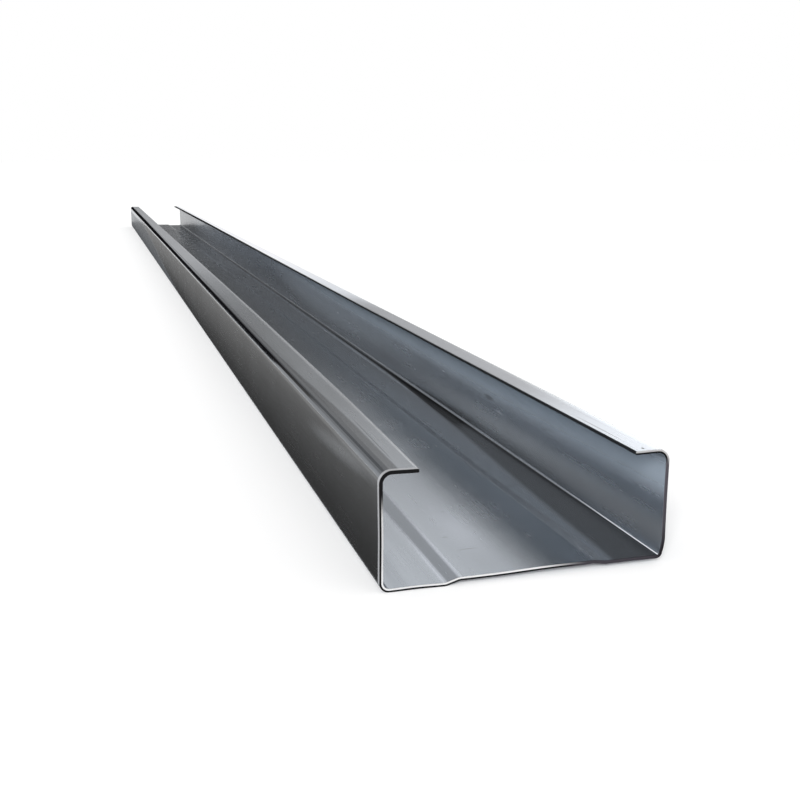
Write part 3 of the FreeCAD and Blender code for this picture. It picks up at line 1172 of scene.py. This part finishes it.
# Each card: its two long edges, across and up in metres, its glow near the middle and far from
# it, and where the fade ends
CARDS = {
    "left_wall": ((-WALL, 0.03), (-WALL, SKY), 0.58, 0.42, 4.5),
    "left_box": ((-WALL, SKY), (-1.3, SKY), 0.16, 0.42, 2.4),
    "left_top": ((-1.3, SKY), (-0.75, SKY), 0.46, 0.36, 4.5),
    "dark_flag": ((-0.75, SKY), (-0.25, SKY), 0.20, 0.06, 4.5),
    "overhead": ((-0.25, SKY), (0.45, SKY), 0.60, 0.17, 4.0),
    "bright_top": ((0.45, SKY), (0.7, SKY), 1.4, 0.08, 2.4),
    "soft_top": ((0.7, SKY), (0.95, SKY), 1.0, 0.25, 2.4),
    "right_top": ((0.95, SKY), (1.5, SKY), 0.5, 0.38, 4.5),
    "corner_box": ((1.5, SKY), (WALL, SKY), 1.0, 1.0, 4.5),
    "right_box": ((WALL, 0.3), (WALL, SKY), 2.0, 0.70, 4.5),
    "right_wall": ((WALL, 0.03), (WALL, 0.3), 0.95, 0.68, 4.5),
}


def place_on_card(tree):
    """How far a place on a card is from the purlin's middle, across and along."""
    place = add(tree, "SeparateXYZ", {0: add(tree, "TexCoord").outputs["Object"]}).outputs
    return calc("ABSOLUTE", place[0]), place[1]


for name, (start, end, near_glow, far_glow, fade_end) in CARDS.items():
    tree, shader = make_card(name, start, end, (-FAR, FAR))
    along = calc("ABSOLUTE", place_on_card(tree)[1])
    feed(soft_edge(along, FADE_START, fade_end, near_glow, far_glow), shader.inputs["Emission Strength"])
print(len(CARDS), "cards in a tunnel", 2 * WALL, "m wide")

# %% [markdown]
# The purlin's outer faces look down at the floor. A grey card lies there on each side, and its glow
# dips at the purlin's foot as a painted shadow, so that the flange darkens towards its foot. Its
# warm tint balances the zinc's cool one. Past its far end the pale floor shows again.

# %% Cards on the floor
FLOOR_CARD_TINT = (1.04, 1.0, 0.95)
FLOOR_CARD_INNER, FLOOR_CARD_OUTER = 0.1002, 1.75
FLOOR_CARD_REACH = (-2.6, 2.35)
FOOT_PLACE, OPEN_PLACE = 0.108, 0.24
# The dim glow at the foot is a painted shadow.
FOOT_GLOW, OPEN_GLOW = 0.05, 0.34

for name, side in (("left_floor_card", -1), ("right_floor_card", 1)):
    edges = [(side * FLOOR_CARD_INNER, 0.3 * MM), (side * FLOOR_CARD_OUTER, 0.3 * MM)]
    tree, shader = make_card(name, *edges, FLOOR_CARD_REACH, FLOOR_CARD_TINT)
    across, along = place_on_card(tree)
    feed(soft_edge(across, FOOT_PLACE, OPEN_PLACE, FOOT_GLOW, OPEN_GLOW), shader.inputs["Emission Strength"])
print("floor cards glow from", FOOT_GLOW, "to", OPEN_GLOW)

# %% [markdown]
# The key light is a large soft sun low behind the photographer, a little to the left. It shines
# under the purlin's near end, and the shadow falls out of sight behind the right flange. The
# cards stand in for it in the reflections.

# %% Key light
KEY_ENERGY = 3.4
KEY_SOFTNESS = 25
KEY_DIRECTION = Vector((0.40, 0.80, -0.45))

key = bpy.data.lights.new("key", "SUN")
key.energy = KEY_ENERGY
key.angle = math.radians(KEY_SOFTNESS)
key_lamp = add_object("key", key)
key_lamp.rotation_euler = KEY_DIRECTION.to_track_quat("-Z", "Y").to_euler()
key_lamp.visible_glossy = False
print("key light of", KEY_ENERGY)

# %% [markdown]
# The camera kneels at the near end, a little to the left, and looks along the purlin.

# %% Camera
CAMERA_PLACE = Vector((-0.261118, -2.614541, 0.266875))
CAMERA_LOOK = Vector((0.26670422, 0.93885373, -0.21776716))

lens = bpy.data.cameras.new("camera")
lens.sensor_width = 36
lens.lens = 48.389
lens.clip_end = 2 * FLOOR_SIZE
camera = add_object("camera", lens)
camera.location = CAMERA_PLACE
camera.rotation_euler = CAMERA_LOOK.to_track_quat("-Z", "Y").to_euler()
bpy.context.scene.camera = camera
bpy.context.scene.view_settings.view_transform = "Standard"
print("camera", np.round(np.array(CAMERA_PLACE), 2), "lens", lens.lens, "mm")
